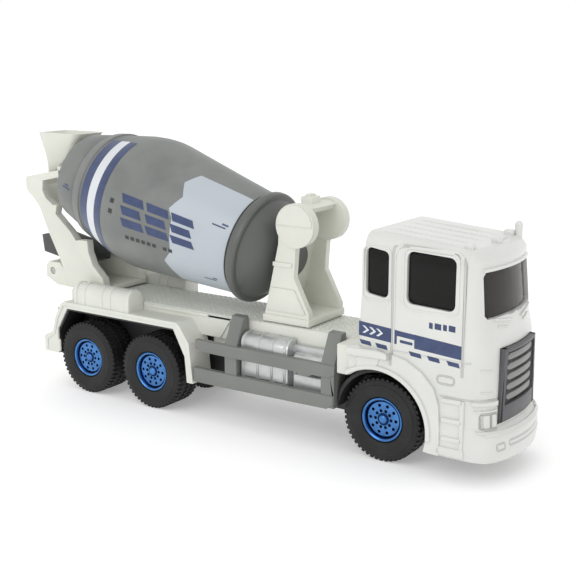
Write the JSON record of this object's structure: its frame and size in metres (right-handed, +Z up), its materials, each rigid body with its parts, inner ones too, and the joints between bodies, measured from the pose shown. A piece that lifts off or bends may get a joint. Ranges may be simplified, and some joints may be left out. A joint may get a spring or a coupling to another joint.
{
  "type": "toy concrete mixer truck",
  "caption": "Toy concrete mixer truck: square cab, spoked blue wheels, inclined grey drum that turns between a front pedestal and a rear support with a funnel and folding chute.",
  "frame": {"origin": "middle of the truck's length and width, on the plane the tyres stand on", "axes": "+X towards the cab, +Y to the truck's left, +Z up"},
  "size_m": [0.1348, 0.0322, 0.0635],
  "materials": {
    "cab_paint": "gloss white paint",
    "white_plastic": "satin warm white",
    "chassis_black": "matt black",
    "smoked_glazing": "clear smoked",
    "cab_interior": "matt dark brown",
    "grille_grey": "matt dark grey",
    "drum_grey": "satin grey",
    "chute_grey": "matt dark grey",
    "guard_grey": "satin mid grey",
    "silver_plating": "silver",
    "wheel_blue": "metallised blue",
    "tyre_black": "matt black",
    "steel": "bright"
  },
  "bodies": {
    "truck": {"cab_shell": "cab_paint", "deck_body": "white_plastic", "drum_pedestal": "white_plastic", "rear_support": "white_plastic", "loading_hopper": "white_plastic", "chassis": "chassis_black", "cab_glazing": "smoked_glazing", "cab_interior": "cab_interior", "grille": "grille_grey", "drum_rear_pin": "steel", "chute_pin": "steel", "base_screw_1": "steel", "base_screw_2": "steel", "side_guard_left": "guard_grey", "side_guard_right": "guard_grey", "fuel_tank_left": "silver_plating", "fuel_tank_right": "silver_plating"},
    "drum": {"drum_shell": "drum_grey", "drum_tail_cone": "drum_grey", "drum_front_cap": "drum_grey"},
    "chute": {"discharge_chute": "chute_grey"},
    "front_wheels": {"front_axle": "steel", "wheel_front_left": "wheel_blue", "tyre_front_left": "tyre_black", "wheel_front_right": "wheel_blue", "tyre_front_right": "tyre_black"},
    "mid_wheels": {"mid_axle": "steel", "wheel_mid_left": "wheel_blue", "tyre_mid_left": "tyre_black", "wheel_mid_right": "wheel_blue", "tyre_mid_right": "tyre_black"},
    "rear_wheels": {"rear_axle": "steel", "wheel_rear_left": "wheel_blue", "tyre_rear_left": "tyre_black", "wheel_rear_right": "wheel_blue", "tyre_rear_right": "tyre_black"}
  },
  "joints": [
    {"name": "drum_spin", "type": "hinge", "parent": "truck", "child": "drum", "pos_m": [0.0024, 0, 0.0396], "axis": [-0.9744, 0, 0.225], "continuous": true},
    {"name": "front_wheels_spin", "type": "hinge", "parent": "truck", "child": "front_wheels", "pos_m": [0.04, 0, 0.009], "axis": [0, 1, 0], "continuous": true},
    {"name": "mid_wheels_spin", "type": "hinge", "parent": "truck", "child": "mid_wheels", "pos_m": [-0.02175, 0, 0.009], "axis": [0, 1, 0], "continuous": true},
    {"name": "rear_wheels_spin", "type": "hinge", "parent": "truck", "child": "rear_wheels", "pos_m": [-0.0426, 0, 0.009], "axis": [0, 1, 0], "continuous": true},
    {"name": "chute_tilt", "type": "hinge", "parent": "truck", "child": "chute", "pos_m": [-0.0596, 0, 0.0282], "axis": [0, -1, 0], "range_deg": [0, 140]}
  ]
}
